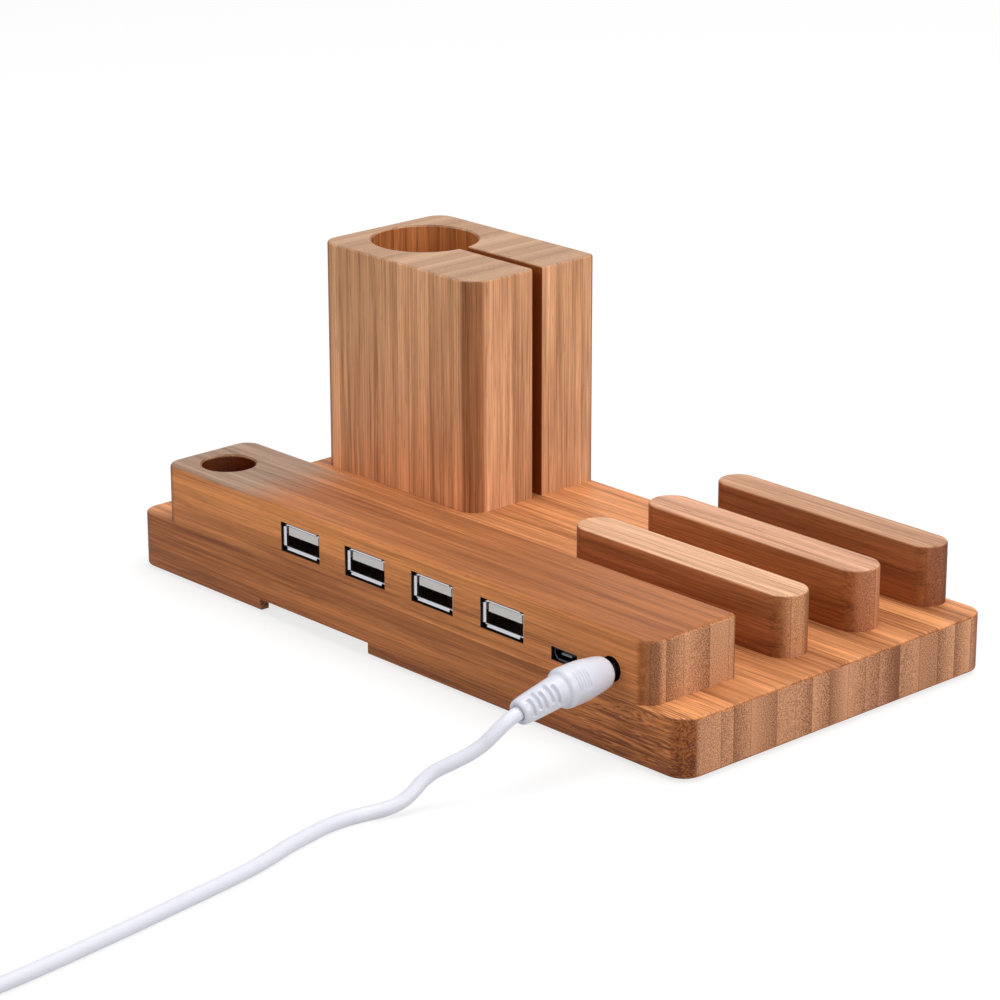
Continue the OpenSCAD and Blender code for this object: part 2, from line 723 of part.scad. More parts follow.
// Contact spring in the slot below the jack's bore, against the outside of the barrel
module jack_spring() {
    top = -barrel_d / 2 - spring_clearance;
    color("goldenrod") translate([jack_x - spring_w / 2, jack_y0 + jack_bore_l - spring_l, deck_z + jack_z]) {
        translate([0, 0, top - spring_t]) cube([spring_w, spring_l, spring_t]);
        translate([0, spring_l - spring_t, -jack_h / 2])
            cube([spring_w, spring_t, jack_h / 2 + top]);
    }
}

// Chip package centred on its place, with a row of pins along each long side
module chip(l, w) {
    pins = floor((l - pin_w) / pin_pitch);
    translate([-l / 2, -w / 2, 0]) cube([l, w, chip_t]);
    for (k = [1:pins], s = [0, 180]) rotate([0, 0, s])
        translate([(k - (pins + 1) / 2) * pin_pitch - pin_w / 2, w / 2, 0])
            cube([pin_w, pin_reach, chip_t / 2]);
}

module hub_chip() {
    color("black") translate([hub_chip_x, part_row_y, pcb_z1]) chip(chip_l, chip_w);
}

module switch_chips() {
    color("black") for (x = switch_chip_places)
        translate([x, part_row_y, pcb_z1]) chip(small_chip_l, small_chip_w);
}

module power_inductor() {
    color("dimgray") translate([data_x, part_row_y, pcb_z1]) {
        translate([-inductor_w / 2, -inductor_w / 2, inductor_terminal_t])
            cube([inductor_w, inductor_w, inductor_h - inductor_terminal_t]);
        for (x = [-inductor_w / 2, inductor_w / 4])
            translate([x, -inductor_w / 4, 0]) cube([inductor_w / 4, inductor_w / 2, inductor_terminal_t]);
    }
}

module capacitors() {
    color("lightgray") for (x = [usb_x(1), usb_x(2), usb_x(4)])
        translate([x, part_row_y, pcb_z1]) {
            translate([-capacitor_d / 2, -capacitor_d / 2, 0])
                cube([capacitor_d, capacitor_d, capacitor_foot_h]);
            cylinder(capacitor_h, capacitor_d / 2, capacitor_d / 2);
        }
}

module crystal() {
    color("silver") translate([crystal_x, part_row_y, pcb_z1])
        for (x = [-(crystal_l - crystal_w) / 2, (crystal_l - crystal_w) / 2]) {
            translate([x, 0, 0]) cylinder(crystal_h, crystal_w / 2, crystal_w / 2);
            translate([-(crystal_l - crystal_w) / 2, -crystal_w / 2, 0])
                cube([crystal_l - crystal_w, crystal_w, crystal_h]);
        }
}

// Stands +Z along the grip's axis, from its front, and along the strain relief's, from the grip's end
module along_grip() {
    translate([plug_x, grip_y, plug_z]) rotate([90 + plug_droop, 0, 0]) children();
}
module along_relief() {
    translate(grip_end) rotate([90 + relief_droop, 0, 0]) children();
}

function grip_r(s) = s < grip_nose
    ? grip_front_d / 2 - grip_nose + sqrt(pow(grip_nose, 2) - pow(grip_nose - s, 2))
    : min(grip_d / 2, grip_front_d / 2
        + (grip_d - grip_front_d) / 2 * (s - grip_nose) / (grip_l * grip_swell_share));

module plug_grip() {
    nose_steps = 6;
    waist_start = grip_l - waist_inset;
    waist_end = waist_start + waist_l;
    swell_end = grip_nose + grip_l * grip_swell_share;
    body = concat(
        [[0, 0]],
        [for (k = [0:nose_steps]) [grip_r(k * grip_nose / nose_steps), k * grip_nose / nose_steps]],
        [[grip_d / 2, swell_end], [grip_d / 2, waist_start], [grip_d / 2 - waist_h, waist_start + waist_h],
         [grip_d / 2 - waist_h, waist_end - waist_h], [grip_d / 2, waist_end]],
        arc([grip_d / 2 - shoulder_r, grip_l - shoulder_r], shoulder_r, 0, 90), [[0, grip_l]]);
    color("white") difference() {
        union() {
            along_grip() rotate_extrude() polygon(body);
            along_relief() translate([0, 0, -relief_root])
                cylinder(relief_root + relief_l, relief_d0 / 2, relief_d1 / 2);
        }
        translate([plug_x, grip_y - barrel_root, plug_z]) rotate([-90, 0, 0])
            cylinder(barrel_root + cut, barrel_d / 2, barrel_d / 2);
        along_grip() for (k = [1:ring_count])
            translate([0, 0, grip_l * ring_start_share + (k - 1) * ring_pitch]) difference() {
                cylinder(ring_pitch / 2, grip_d, grip_d);
                cylinder(ring_pitch / 2, grip_d / 2 - ring_h, grip_d / 2 - ring_h);
            }
        along_relief() for (k = [1:relief_slots])
            translate([0, 0, k * relief_l / (relief_slots + 1) - slot_w / 2]) difference() {
                cylinder(slot_w, grip_d, grip_d);
                cylinder(slot_w, slot_core_d / 2, slot_core_d / 2);
                rotate([0, 0, k % 2 * 90]) translate([-grip_d, -slot_w / 2, 0])
                    cube([2 * grip_d, slot_w, slot_w]);
            }
    }
}

module plug_barrel() {
    color("silver") translate([plug_x, grip_y, plug_z]) rotate([-90, 0, 0]) difference() {
        translate([0, 0, -barrel_root]) cylinder(barrel_l + barrel_root, barrel_d / 2, barrel_d / 2);
        translate([0, 0, -barrel_root - cut])
            cylinder(barrel_l + barrel_root + 2 * cut, barrel_d / 2 - barrel_wall,
                     barrel_d / 2 - barrel_wall);
    }
}

module plug_insulator() {
    color("black") translate([plug_x, grip_y, plug_z]) rotate([-90, 0, 0]) difference() {
        translate([0, 0, -barrel_root])
            cylinder(barrel_l + barrel_root - insulator_setback, barrel_d / 2 - barrel_wall,
                     barrel_d / 2 - barrel_wall);
        cylinder(barrel_l + cut, insulator_bore_d / 2, insulator_bore_d / 2);
    }
}

// Point on the smooth curve through a list of points, s running from 0 to the last one's number
function on_curve(p, s) =
    let (n = len(p) - 1, i = min(floor(s), n - 1), t = s - i,
         a = p[max(i - 1, 0)], b = p[i], c = p[i + 1], d = p[min(i + 2, n)])
    b + t * (c - a) / 2 + t * t * (a - b * 5 / 2 + c * 2 - d / 2)
      + t * t * t * ((d - a) / 2 + (b - c) * 3 / 2);

function unit(v) = v / norm(v);

// Rings of a round tube along a path: each is square to the path and has its flats level
function ring_points(path, r, sides) = [
    for (i = [0:len(path) - 1])
    let (along = unit(path[min(i + 1, len(path) - 1)] - path[max(i - 1, 0)]),
         across = unit(cross(along, [0, 0, 1])),
         up = cross(across, along))
    for (k = [0:sides - 1])
    let (a = (k + 0.5) * 360 / sides)
    path[i] + r * (cos(a) * across + sin(a) * up)];

module tube(path, r, sides) {
    last = len(path) - 1;
    polyhedron(
        points = ring_points(path, r, sides),
        faces = concat(
            [for (i = [0:last - 1], k = [0:sides - 1])
             [i * sides + k, i * sides + (k + 1) % sides, (i + 1) * sides + (k + 1) % sides]],
            [for (i = [0:last - 1], k = [0:sides - 1])
             [i * sides + k, (i + 1) * sides + (k + 1) % sides, (i + 1) * sides + k]],
            [for (k = [1:sides - 2]) [0, k + 1, k]],
            [for (k = [1:sides - 2]) [last * sides, last * sides + k, last * sides + k + 1]]));
}

module cord_run() {
    color("white") tube([for (s = [0:1 / run_steps:len(run_points) - 1]) on_curve(run_points, s)],
                        cord_r, run_sides);
}

module cord_tail() {
    color("white") tube([for (s = [0:1 / run_steps:len(tail_points) - 1]) on_curve(tail_points, s)],
                        cord_r, run_sides);
}

// Radius and height of the coil's middle line after t turns
function coil_r(t) = t < coil_layer_turns ? coil_outer_r - coil_turn_pitch * t
    : t < coil_layer_turns + coil_climb_turns ? coil_inner_r
    : coil_inner_r + coil_turn_pitch * (t - coil_layer_turns - coil_climb_turns);
function coil_z(t) = coil_start[2] + coil_layer_pitch
    * (1 - cos(180 * min(1, max(0, (t - coil_layer_turns) / coil_climb_turns)))) / 2;
function coil_point(t) = [coil_centre[0] + coil_r(t) * cos(360 * t),
                          coil_centre[1] - coil_r(t) * sin(360 * t), coil_z(t)];
coil_path = concat([coil_start],
                   [for (k = [0:coil_turns * coil_rings]) coil_point(k / coil_rings)],
                   [coil_point(coil_turns) - [cord_d, 0, 0]]);
coil_gap = min([for (i = [1:len(coil_path) - 2])
    for (j = [i + coil_rings / 2:len(coil_path) - 2]) norm(coil_path[i] - coil_path[j])]) - cord_d;
echo(str("Least gap between the coil's turns in mm: ", coil_gap));
echo(str("The coil ends at ", coil_path[len(coil_path) - 1]));

module cord_coil() {
    color("white") tube(coil_path, cord_r, coil_sides);
}

// The adapter lies on its side; its blades look towards -X and its cord leaves towards +X
adapter_x0 = adapter_x1 - adapter_l;
module adapter_shell(l, w, h, r) {
    rotate([0, 90, 0]) translate([-h, -w / 2, 0]) rounded_block(h, w, l, r);
}

module adapter_case() {
    color("white") difference() {
        translate([adapter_x0, adapter_y, 0])
            adapter_shell(adapter_l, adapter_w, adapter_h, adapter_corner_r);
        translate([adapter_x0 - cut, adapter_y, adapter_wall])
            adapter_shell(adapter_l - adapter_wall + cut, adapter_w - 2 * adapter_wall,
                          adapter_h - 2 * adapter_wall, adapter_corner_r - adapter_wall);
        translate([adapter_x1 - adapter_wall - cut, adapter_y, adapter_h / 2]) rotate([0, 90, 0])
            cylinder(adapter_wall + 2 * cut, adapter_relief_d0 / 2, adapter_relief_d0 / 2);
    }
}

// End cover that closes the case and holds the two blades
module adapter_face() {
    color("whitesmoke") difference() {
        translate([adapter_x0, adapter_y, adapter_wall])
            adapter_shell(adapter_face_t, adapter_w - 2 * adapter_wall, adapter_h - 2 * adapter_wall,
                          adapter_corner_r - adapter_wall);
        for (s = [-1, 1]) translate([adapter_x0 - cut, adapter_y + s * blade_pitch / 2 - blade_t / 2,
                                     adapter_h / 2 - blade_w / 2])
            cube([adapter_face_t + 2 * cut, blade_t, blade_w]);
    }
}

module adapter_blades() {
    color("silver") for (s = [-1, 1])
        translate([adapter_x0 - blade_l, adapter_y + s * blade_pitch / 2 - blade_t / 2,
                   adapter_h / 2 - blade_w / 2]) difference() {
            cube([blade_l + adapter_face_t, blade_t, blade_w]);
            translate([blade_hole_inset, -cut, blade_w / 2]) rotate([-90, 0, 0])
                cylinder(blade_t + 2 * cut, blade_hole_d / 2, blade_hole_d / 2);
        }
}

module adapter_relief() {
    color("white") translate([adapter_x1, adapter_y, adapter_h / 2]) rotate([0, 90, 0]) {
        translate([0, 0, -adapter_wall]) cylinder(adapter_wall, adapter_relief_d0 / 2, adapter_relief_d0 / 2);
        cylinder(adapter_flange_t, adapter_flange_d / 2, adapter_flange_d / 2);
        translate([0, 0, adapter_flange_t])
            cylinder(adapter_relief_l - adapter_flange_t, adapter_relief_d0 / 2, adapter_relief_d1 / 2);
    }
}

module adapter_board() {
    color("darkgreen") translate([adapter_x0 + adapter_face_t, adapter_y - adapter_w / 2 + adapter_wall,
                                  adapter_board_z])
        cube([adapter_l - adapter_face_t - adapter_wall - adapter_board_margin,
              adapter_w - 2 * adapter_wall, adapter_board_t]);
}

module adapter_transformer() {
    color("goldenrod") translate([adapter_x0 + adapter_l / 2 - transformer_l / 2,
                                  adapter_y - transformer_w / 2, adapter_board_z + adapter_board_t])
        cube([transformer_l, transformer_w, transformer_h]);
}

base_board();
hub_housing();
divider_front();
divider_middle();
divider_rear();
watch_stand();
foot_pads();
housing_screws();
divider_screws();
stand_screws();
hub_board();
board_spacers();
board_screws();
for (i = [1:usb_count]) {
    usb_shell(i);
    usb_tongue(i);
    usb_contacts(i);
}
data_port_shell();
data_port_tongue();
jack_body();
jack_pin();
jack_spring();
hub_chip();
switch_chips();
power_inductor();
capacitors();
crystal();
plug_grip();
plug_barrel();
plug_insulator();
cord_run();
cord_coil();
cord_tail();
adapter_case();
adapter_face();
adapter_blades();
adapter_relief();
adapter_board();
adapter_transformer();
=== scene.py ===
import math

import bpy
import numpy as np
from mathutils import Matrix


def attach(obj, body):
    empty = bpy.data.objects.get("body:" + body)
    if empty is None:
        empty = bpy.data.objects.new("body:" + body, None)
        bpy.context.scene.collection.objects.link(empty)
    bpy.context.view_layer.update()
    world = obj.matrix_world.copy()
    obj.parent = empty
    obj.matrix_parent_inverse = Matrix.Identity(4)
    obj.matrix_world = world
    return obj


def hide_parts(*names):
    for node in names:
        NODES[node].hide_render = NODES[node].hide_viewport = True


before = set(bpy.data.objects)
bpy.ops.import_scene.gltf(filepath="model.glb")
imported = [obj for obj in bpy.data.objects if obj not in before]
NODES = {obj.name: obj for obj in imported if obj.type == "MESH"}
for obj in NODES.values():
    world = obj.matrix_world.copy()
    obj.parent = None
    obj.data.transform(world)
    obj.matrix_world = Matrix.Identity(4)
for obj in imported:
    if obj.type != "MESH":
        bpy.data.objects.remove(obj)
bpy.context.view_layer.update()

MM_PER_M = 1000


# Camera

SENSOR_MM, LENS_MM = 36.0, 124.39
NEAR, FAR = 0.05, 20.0
CAMERA_PLACE = (0.58047, -0.54968, 0.30194)
CAMERA_FORWARD = (-0.69640, 0.64137, -0.32198)
CAMERA_ROLL_DEG = -0.100


def unit(vector):
    vector = np.array(vector)
    return vector / np.linalg.norm(vector)


def world_matrix(right, up, back, place):
    """A camera's or lamp's matrix, whose columns are right, up, back and its place."""
    matrix = np.identity(4)
    matrix[:3, 0], matrix[:3, 1], matrix[:3, 2], matrix[:3, 3] = right, up, back, place
    return Matrix(matrix.tolist())


def aim_camera():
    """A long lens at the photograph's place, level but for a small roll."""
    data = bpy.data.cameras.new("camera")
    data.sensor_width, data.lens = SENSOR_MM, LENS_MM
    data.clip_start, data.clip_end = NEAR, FAR
    camera = bpy.data.objects.new("camera", data)
    bpy.context.scene.collection.objects.link(camera)
    forward = unit(CAMERA_FORWARD)
    right = unit(np.cross(forward, [0.0, 0.0, 1.0]))
    up = np.cross(right, forward)
    roll = math.radians(CAMERA_ROLL_DEG)
    right, up = (right * math.cos(roll) + up * math.sin(roll),
                 up * math.cos(roll) - right * math.sin(roll))
    camera.matrix_world = world_matrix(right, up, -forward, CAMERA_PLACE)
    bpy.context.scene.camera = camera


aim_camera()


# The power plug's grip, in millimetres and degrees except for its place

GRIP_FRONT = np.array([0.07485, -0.0523, 0.0211])
# Distance behind the front face, and radius
GRIP_PROFILE = np.array([
    (0, 0.0), (0, 1.6), (0, 2.5), (0.12, 2.85), (0.35, 3.14), (0.7, 3.42), (1.2, 3.68),
    (2.2, 3.95), (3.3, 4.11), (4.4, 4.28), (5.5, 4.43), (6.6, 4.58), (7.7, 4.68), (10, 4.74),
    (12.8, 4.72), (13.5, 4.62), (13.95, 4.4), (14.2, 4.12), (14.35, 3.84), (14.6, 3.6),
    (15, 3.54), (15.6, 3.62), (16.4, 3.58), (24.2, 3.2), (25.4, 3.1), (26.1, 2.98),
    (26.5, 2.8), (26.72, 2.55), (26.76, 2.3), (26.6, 1.9), (26.3, 1.66), (26, 1.2), (26, 0.0)])
GRIP_ROWS, GRIP_COLUMNS = 300, 144
# The profile's first and last stretch, which keep their edges; the rest is averaged over rows
CRISP_START, CRISP_END, AVERAGED_ROWS = 3.2, 3.6, 5
THUMB_LINES = [8.9 + 0.85 * k for k in range(5)]
LINE_HALF_WIDTH, LINE_DEPTH = 0.3, 0.32
PAD_MIDDLE, PAD_HALF, PAD_FADE = 33.0, 36.0, 10.0
# Distance behind the front face, and middle and half length round the axis
RELIEF_SLOTS = [(17.5, 22, 36), (19.2, 45, 38), (21.2, 28, 34), (22.8, 45, 36), (24.6, 26, 34)]
SLOT_DEPTH, SLOT_HALF_WIDTH, SLOT_SLOPE = 0.85, 0.62, 0.34
RELIEF_RADIUS, RELIEF_TIP_RADIUS = 3.4, 2.9
DROOP, EXTRA_DROOP, DROOP_FROM, DROOP_RUN = 2.5, 7.5, 12.4, 4.0


def ease(share):
    """A smooth step from 0 to 1: three times the square less twice the cube."""
    return share ** 2 * (3 - 2 * share)


def wrap(name, rings, start, end):
    """A closed smooth piece over a row of rings, each a loop of as many points, with one more
    point at either end: quads between the rings, and triangles round the two points. Each loop
    turns from left to right over the top, seen along the row."""
    rows, columns = rings.shape[:2]
    i, j = np.meshgrid(np.arange(rows - 1), np.arange(columns), indexing="ij")
    near, far = i * columns + j, i * columns + (j + 1) % columns
    quads = np.stack([near, far, far + columns, near + columns], 2).reshape(-1, 4)
    loop = np.arange(columns)
    after = np.roll(loop, -1)
    back = (rows - 1) * columns
    first = np.full(columns, rows * columns)
    last = first + 1
    caps = np.vstack([np.stack([after, loop, first], 1),
                      np.stack([back + loop, back + after, last], 1)])
    mesh = bpy.data.meshes.new(name)
    points = np.vstack([rings.reshape(-1, 3), [start], [end]])
    mesh.from_pydata(points.tolist(), [], quads.tolist() + caps.tolist())
    mesh.polygons.foreach_set("use_smooth", np.ones(len(mesh.polygons), bool))
    piece = bpy.data.objects.new(name, mesh)
    bpy.context.scene.collection.objects.link(piece)
    return piece


def grip_radius(along, profile_radius, angle):
    """The grip's radius r(u, a): the profile less the thumb lines, each half a cosine wide, and
    less the strain relief's slots, whose depth falls with the distance from an arc. Lines and
    slots are on both sides, half a turn apart."""
    s, a = np.meshgrid(along, angle, indexing="ij")
    r = np.repeat(profile_radius[:, None], len(angle), 1)
    outside = np.repeat((profile_radius > RELIEF_TIP_RADIUS)[:, None], len(angle), 1)
    for side in (0.0, 180.0):
        turn = (np.degrees(a) - side + 180.0) % 360.0 - 180.0
        pad = np.clip((PAD_HALF - np.abs(turn - PAD_MIDDLE)) / PAD_FADE, 0.0, 1.0)
        for middle in THUMB_LINES:
            line = np.clip(1 - np.abs(s - middle) / LINE_HALF_WIDTH, 0.0, 1.0)
            r = r - LINE_DEPTH * pad * np.sin(line * np.pi / 2) ** 2
        for middle, centre, half in RELIEF_SLOTS:
            past = np.maximum(np.abs(turn - centre) - half, 0.0) / 180 * np.pi * RELIEF_RADIUS
            away = np.hypot(s - middle, past)
            depth = np.clip((SLOT_HALF_WIDTH - away) / SLOT_SLOPE, 0.0, 1.0)
            r = r - outside * SLOT_DEPTH * ease(depth)
    return r


def mould_grip():
    """The plug's moulded grip: circles of the radius r(u, a) along an axis that droops a little,
    and more from the shoulder on, each circle leaning with the axis."""
    run = np.concatenate([[0.0], np.cumsum(np.hypot(*np.diff(GRIP_PROFILE, axis=0).T))])
    u = np.linspace(0.0, run[-1], GRIP_ROWS)
    along, radius = (np.interp(u, run, GRIP_PROFILE[:, k]) for k in (0, 1))
    averaged = np.convolve(radius, np.ones(AVERAGED_ROWS) / AVERAGED_ROWS, "same")
    radius = np.where((u > CRISP_START) & (u < run[-1] - CRISP_END), averaged, radius)
    angle = np.linspace(0.0, 2 * np.pi, GRIP_COLUMNS, endpoint=False)
    r = grip_radius(along, radius, angle)
    bend = np.clip((along - DROOP_FROM) / DROOP_RUN, 0.0, 1.0)
    droop = np.radians(DROOP + EXTRA_DROOP * ease(bend))
    step = np.diff(along, prepend=0.0) / MM_PER_M
    middle_y = GRIP_FRONT[1] - np.cumsum(step * np.cos(droop))
    middle_z = GRIP_FRONT[2] - np.cumsum(step * np.sin(droop))
    lift = r * np.sin(angle) / MM_PER_M
    points = np.stack([GRIP_FRONT[0] + r * np.cos(angle) / MM_PER_M,
                       middle_y[:, None] - lift * np.sin(droop)[:, None],
                       middle_z[:, None] + lift * np.cos(droop)[:, None]], 2)
    grip = wrap("moulded_grip", points[1:-1], points[0, 0], points[-1, 0])
    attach(grip, "power_lead")
    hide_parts("plug_grip")
    return grip


moulded_grip = mould_grip()


# The power cord, in metres

CORD_D = 0.0032
# From the strain relief down to the table and on, the last points just out of the picture
RUN = np.array([
    (74.85, -78.2088, 18.4401), (74.8, -80.7, 17.8), (74.6, -83.2, 16.6), (73.9, -86, 14.4),
    (73, -87.6, 12.8), (71.6, -90.4, 11), (69.8, -93.6, 9.4), (68, -96.7, 7.9), (67.2, -99.7, 6.2),
    (67.2, -102.6, 4.4), (66.8, -105.7, 2.9), (65.7, -109, 2), (64.2, -112.6, 1.6),
    (63.3, -117.6, 1.6), (63.3, -123.2, 1.6), (64.3, -129.2, 1.6), (65.6, -135.5, 1.6),
    (67.5, -142.1, 1.6), (69.2, -149.1, 1.6), (70.9, -160, 1.6), (72.4, -171, 1.6),
    (73.9, -182, 1.6), (75.2, -193, 1.6), (76.4, -204, 1.6), (77.3, -215, 1.6),
    (77.6, -224, 1.6), (77.6, -230, 1.6)]) / MM_PER_M
LAYER_TURNS, CLIMB_TURNS = 4.375, 0.5
TURN_PITCH, LAYER_PITCH = 0.00415, 0.0042
COIL_MEAN = 5.5 * CORD_D
COIL_OUTER = COIL_MEAN + LAYER_TURNS * TURN_PITCH / 2
COIL_INNER = COIL_OUTER - LAYER_TURNS * TURN_PITCH
COIL_CENTRE = np.array([RUN[-1][0] - COIL_OUTER, RUN[-1][1] - CORD_D])
TAIL_Y = COIL_CENTRE[1] - COIL_OUTER
TAIL = np.array([
    (COIL_CENTRE[0] - CORD_D, TAIL_Y, RUN[-1][2] + LAYER_PITCH), (0.044, TAIL_Y, 0.0062),
    (0.039, TAIL_Y, 0.0076), (0.034, TAIL_Y, 0.0094), (0.029, TAIL_Y, 0.0107),
    (0.025, TAIL_Y, 0.011), (0.022, TAIL_Y, 0.011)])
STEPS_PER_SPAN, STEPS_PER_TURN, CORD_SIDES = 8, 48, 28


def through(points, steps):
    """Points on the smooth curve through a route: each span is the cubic whose end slopes are
    half the distance between the neighbours of its two ends."""
    padded = np.vstack([points[:1], points, points[-1:]])
    spans = len(points) - 1
    s = np.linspace(0, spans, spans * steps + 1)
    i = np.minimum(s.astype(int), spans - 1)
    t = (s - i)[:, None]
    a, b, c, d = (padded[i + k] for k in range(4))
    return (b + t * (c - a) / 2 + t ** 2 * (a - b * 2.5 + c * 2 - d / 2)
            + t ** 3 * ((d - a) / 2 + (b - c) * 1.5))


def coil_line(steps):
    """A flat spiral inwards along the table, half a turn that climbs by one layer, and a spiral
    outwards on top of it: the radius is linear in the turns, the climb half a cosine."""
    turns = 2 * LAYER_TURNS + CLIMB_TURNS
    t = np.linspace(0, turns, int(turns * steps) + 1)
    outwards = COIL_INNER + TURN_PITCH * (t - LAYER_TURNS - CLIMB_TURNS)
    radius = np.where(t < LAYER_TURNS, COIL_OUTER - TURN_PITCH * t,
                      np.maximum(COIL_INNER, outwards))
    climb = np.clip((t - LAYER_TURNS) / CLIMB_TURNS, 0, 1)
    return np.stack([COIL_CENTRE[0] + radius * np.cos(2 * np.pi * t),
                     COIL_CENTRE[1] - radius * np.sin(2 * np.pi * t),
                     RUN[-1][2] + LAYER_PITCH * (1 - np.cos(np.pi * climb)) / 2], 1)


def lay_cord():
    """One round cord from the plug's strain relief through its coil to the wall adapter: a circle
    carried along its line, which is never upright. The circle's first axis is level and square to
    the line, its second square to both."""
    line = np.vstack([through(RUN, STEPS_PER_SPAN)[:-1], coil_line(STEPS_PER_TURN),
                      through(TAIL, STEPS_PER_SPAN)])
    ahead = np.gradient(line, axis=0)
    ahead /= np.linalg.norm(ahead, axis=1)[:, None]
    level = np.cross([0.0, 0.0, 1.0], ahead)
    level /= np.linalg.norm(level, axis=1)[:, None]
    steep = np.cross(ahead, level)
    turn = np.linspace(0.0, 2 * np.pi, CORD_SIDES, endpoint=False)[None, :, None]
    rings = line[:, None] + CORD_D / 2 * (np.cos(turn) * level[:, None]
                                          + np.sin(turn) * steep[:, None])
    cord = wrap("power_cord", rings, line[0], line[-1])
    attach(cord, "power_lead")
    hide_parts("cord_run", "cord_coil", "cord_tail")
    return cord


power_cord = lay_cord()


# Node trees

class Wiring:
    """Puts shader nodes into one tree and feeds their sockets with values or other sockets."""

    def __init__(self, tree):
        self.tree = tree

    def feed(self, socket, value):
        if isinstance(value, bpy.types.NodeSocket):
            self.tree.links.new(value, socket)
        else:
            socket.default_value = value

    def node(self, kind, feeds=(), **settings):
        made = self.tree.nodes.new("ShaderNode" + kind)
        for name, value in settings.items():
            setattr(made, name, value)
        for name, value in dict(feeds).items():
            self.feed(made.inputs[name], value)
        return made

    def sum_up(self, operation, a, b=0.0, clamp=False):
        return self.node("Math", {0: a, 1: b}, operation=operation, use_clamp=clamp).outputs[0]

    def plus(self, a, b, clamp=False):
        return self.sum_up("ADD", a, b, clamp)

    def minus(self, a, b):
        return self.sum_up("SUBTRACT", a, b)

    def times(self, a, b):
        return self.sum_up("MULTIPLY", a, b)

    def spread(self, value, low, high, start=0.0, end=1.0, smooth=False):
        """Maps low..high onto start..end."""
        return self.node("MapRange", {0: value, 1: low, 2: high, 3: start, 4: end},
                         interpolation_type="SMOOTHSTEP" if smooth else "LINEAR").outputs[0]

    def blend(self, share, a, b, way="MIX"):
        return self.node("Mix", {0: share, 6: a, 7: b}, data_type="RGBA",
                         blend_type=way).outputs[2]

    def tint(self, color, by):
        """A colour multiplied by another."""
        return self.blend(1.0, color, by, "MULTIPLY")

    def stretch(self, parts, scales, shift=0.0):
        """A vector whose parts are scaled one by one, the first also shifted."""
        x = self.plus(self.times(parts[0], scales[0]), shift)
        y, z = (self.times(parts[k], scales[k]) for k in (1, 2))
        return self.node("CombineXYZ", {0: x, 1: y, 2: z}).outputs[0]

    def noise(self, vector, detail, roughness, scale=1.0):
        return self.node("TexNoise", {"Vector": vector, "Scale": scale, "Detail": detail,
                                      "Roughness": roughness}).outputs[0]


def new_group(name, inputs, outputs):
    """A shader node group with named sockets: the group, and its wiring, inputs and outputs."""
    group = bpy.data.node_groups.new(name, "ShaderNodeTree")
    for label, kind, value in inputs:
        socket = group.interface.new_socket(label, in_out="INPUT", socket_type="NodeSocket" + kind)
        if value is not None:
            socket.default_value = value
    for label, kind in outputs:
        group.interface.new_socket(label, in_out="OUTPUT", socket_type="NodeSocket" + kind)
    given = group.nodes.new("NodeGroupInput").outputs
    return group, Wiring(group), given, group.nodes.new("NodeGroupOutput").inputs


# Noises of the bamboo: scale along and across the grain, detail and roughness
SWAY_NOISE = (34.0, 160.0, 2.0, 0.5)
FIBRE_NOISE = (34.0, 2300.0, 3.0, 0.6)
STREAK_NOISE = (11.0, 640.0, 3.0, 0.6)
CLOUD_NOISE = (7.0, 110.0, 2.0, 0.5)
FLECK_NOISE = (150.0, 2600.0, 1.0, 0.5)
SPECK_NOISE = (400.0, 3800.0, 1.0, 0.6)
# Strips: unevenness, the glue line's share of a strip, the ends' slope of tone across a strip,
# and how far the noises shift along the grain from strip to strip
STRIP_UNEVEN, GLUE_SHARE, STRIP_SLOPE, STRIP_SHIFT = 0.8, 0.04, 0.8, 37.0
# How far the grain sways, in metres, where it is calm and where it is wild
CALM_SWAY, WILD_SWAY = 0.0009, 0.0075
# What each field adds to the shade on the long sides and on the ends
FIBRE_LONG, STREAK_LONG, CLOUD_LONG, FIBRE_WILD = 1.35, 1.15, 1.0, 2.6
OWN_END, SPECK_END, FIBRE_END = 0.32, 1.8, 0.3
# The deepest and palest multiple of the tone, and that of flecks and glue lines
DEEP, PALE, MARKED = (0.46, 0.37, 0.29, 1.0), (1.52, 1.64, 1.64, 1.0), (0.32, 0.25, 0.2, 1.0)
FLECK_FROM, FLECK_TO = 0.62, 0.74
# Strength of flecks and of glue lines, on the long sides and on the ends
FLECK_LONG, FLECK_END = 0.34, 0.0
GLUE_LONG, GLUE_END = 0.12, 0.42
BAMBOO_ROUGH, FIBRE_ROUGH, END_ROUGH = 0.42, 0.2, 0.16
FIBRE_HEIGHT, STREAK_HEIGHT, GLUE_HEIGHT = 0.7, 0.3, 0.3


